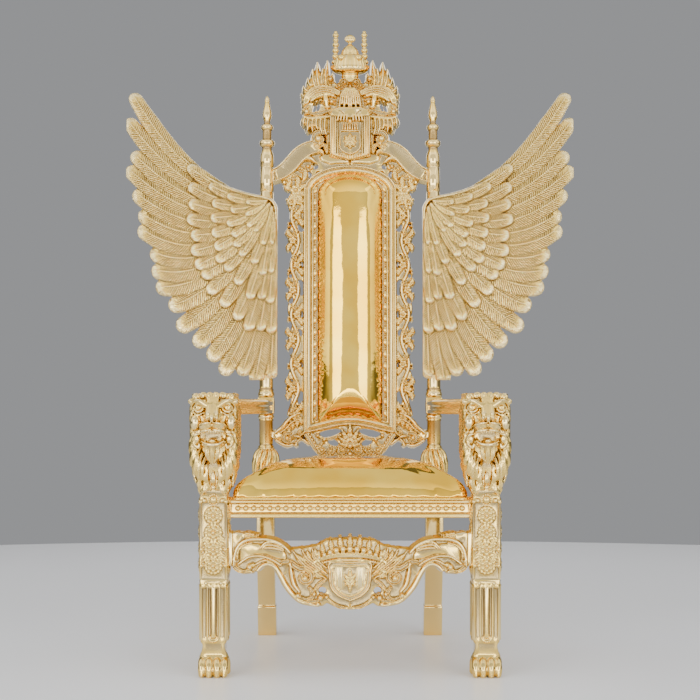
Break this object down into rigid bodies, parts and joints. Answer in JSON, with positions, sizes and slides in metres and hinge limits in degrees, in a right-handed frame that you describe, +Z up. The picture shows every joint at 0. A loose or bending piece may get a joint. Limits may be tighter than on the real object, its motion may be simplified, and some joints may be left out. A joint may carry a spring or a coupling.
{
  "type": "throne",
  "caption": "High-backed carved gilt throne with lion-headed arms, paw feet, feathered wings on the back posts, a crowned crest and gold upholstery.",
  "frame": {"origin": "on the floor under the middle of the throne's bounding box", "axes": "+Z up, +X to the right of someone who faces the throne (the sitter's left), and -Y the way the sitter faces"},
  "size_m": [1.284, 0.709, 1.7958],
  "materials": {
    "gilt_carving": "metallic gold paint on carved wood, satin with bright high points",
    "gilt_frame": "metallic gold paint on turned and moulded wood, smooth satin",
    "gilt_wings": "metallic gold paint on cast resin, finely ridged, slightly dull",
    "gold_upholstery": "mirror-bright metallic gold vinyl over foam"
  },
  "bodies": {
    "root": {"front_leg_left": "gilt_carving", "front_leg_right": "gilt_carving", "arm_left": "gilt_frame", "arm_right": "gilt_frame", "back_post_left": "gilt_frame", "back_post_right": "gilt_frame", "seat_rail_front": "gilt_frame", "seat_rail_back": "gilt_frame", "seat_rail_side_left": "gilt_frame", "seat_rail_side_right": "gilt_frame", "front_stretcher": "gilt_carving", "back_frame": "gilt_carving", "crest": "gilt_carving", "wing_left": "gilt_wings", "wing_right": "gilt_wings", "seat_cushion": "gold_upholstery", "back_cushion": "gold_upholstery", "back_panel": "gold_upholstery"}
  },
  "joints": []
}
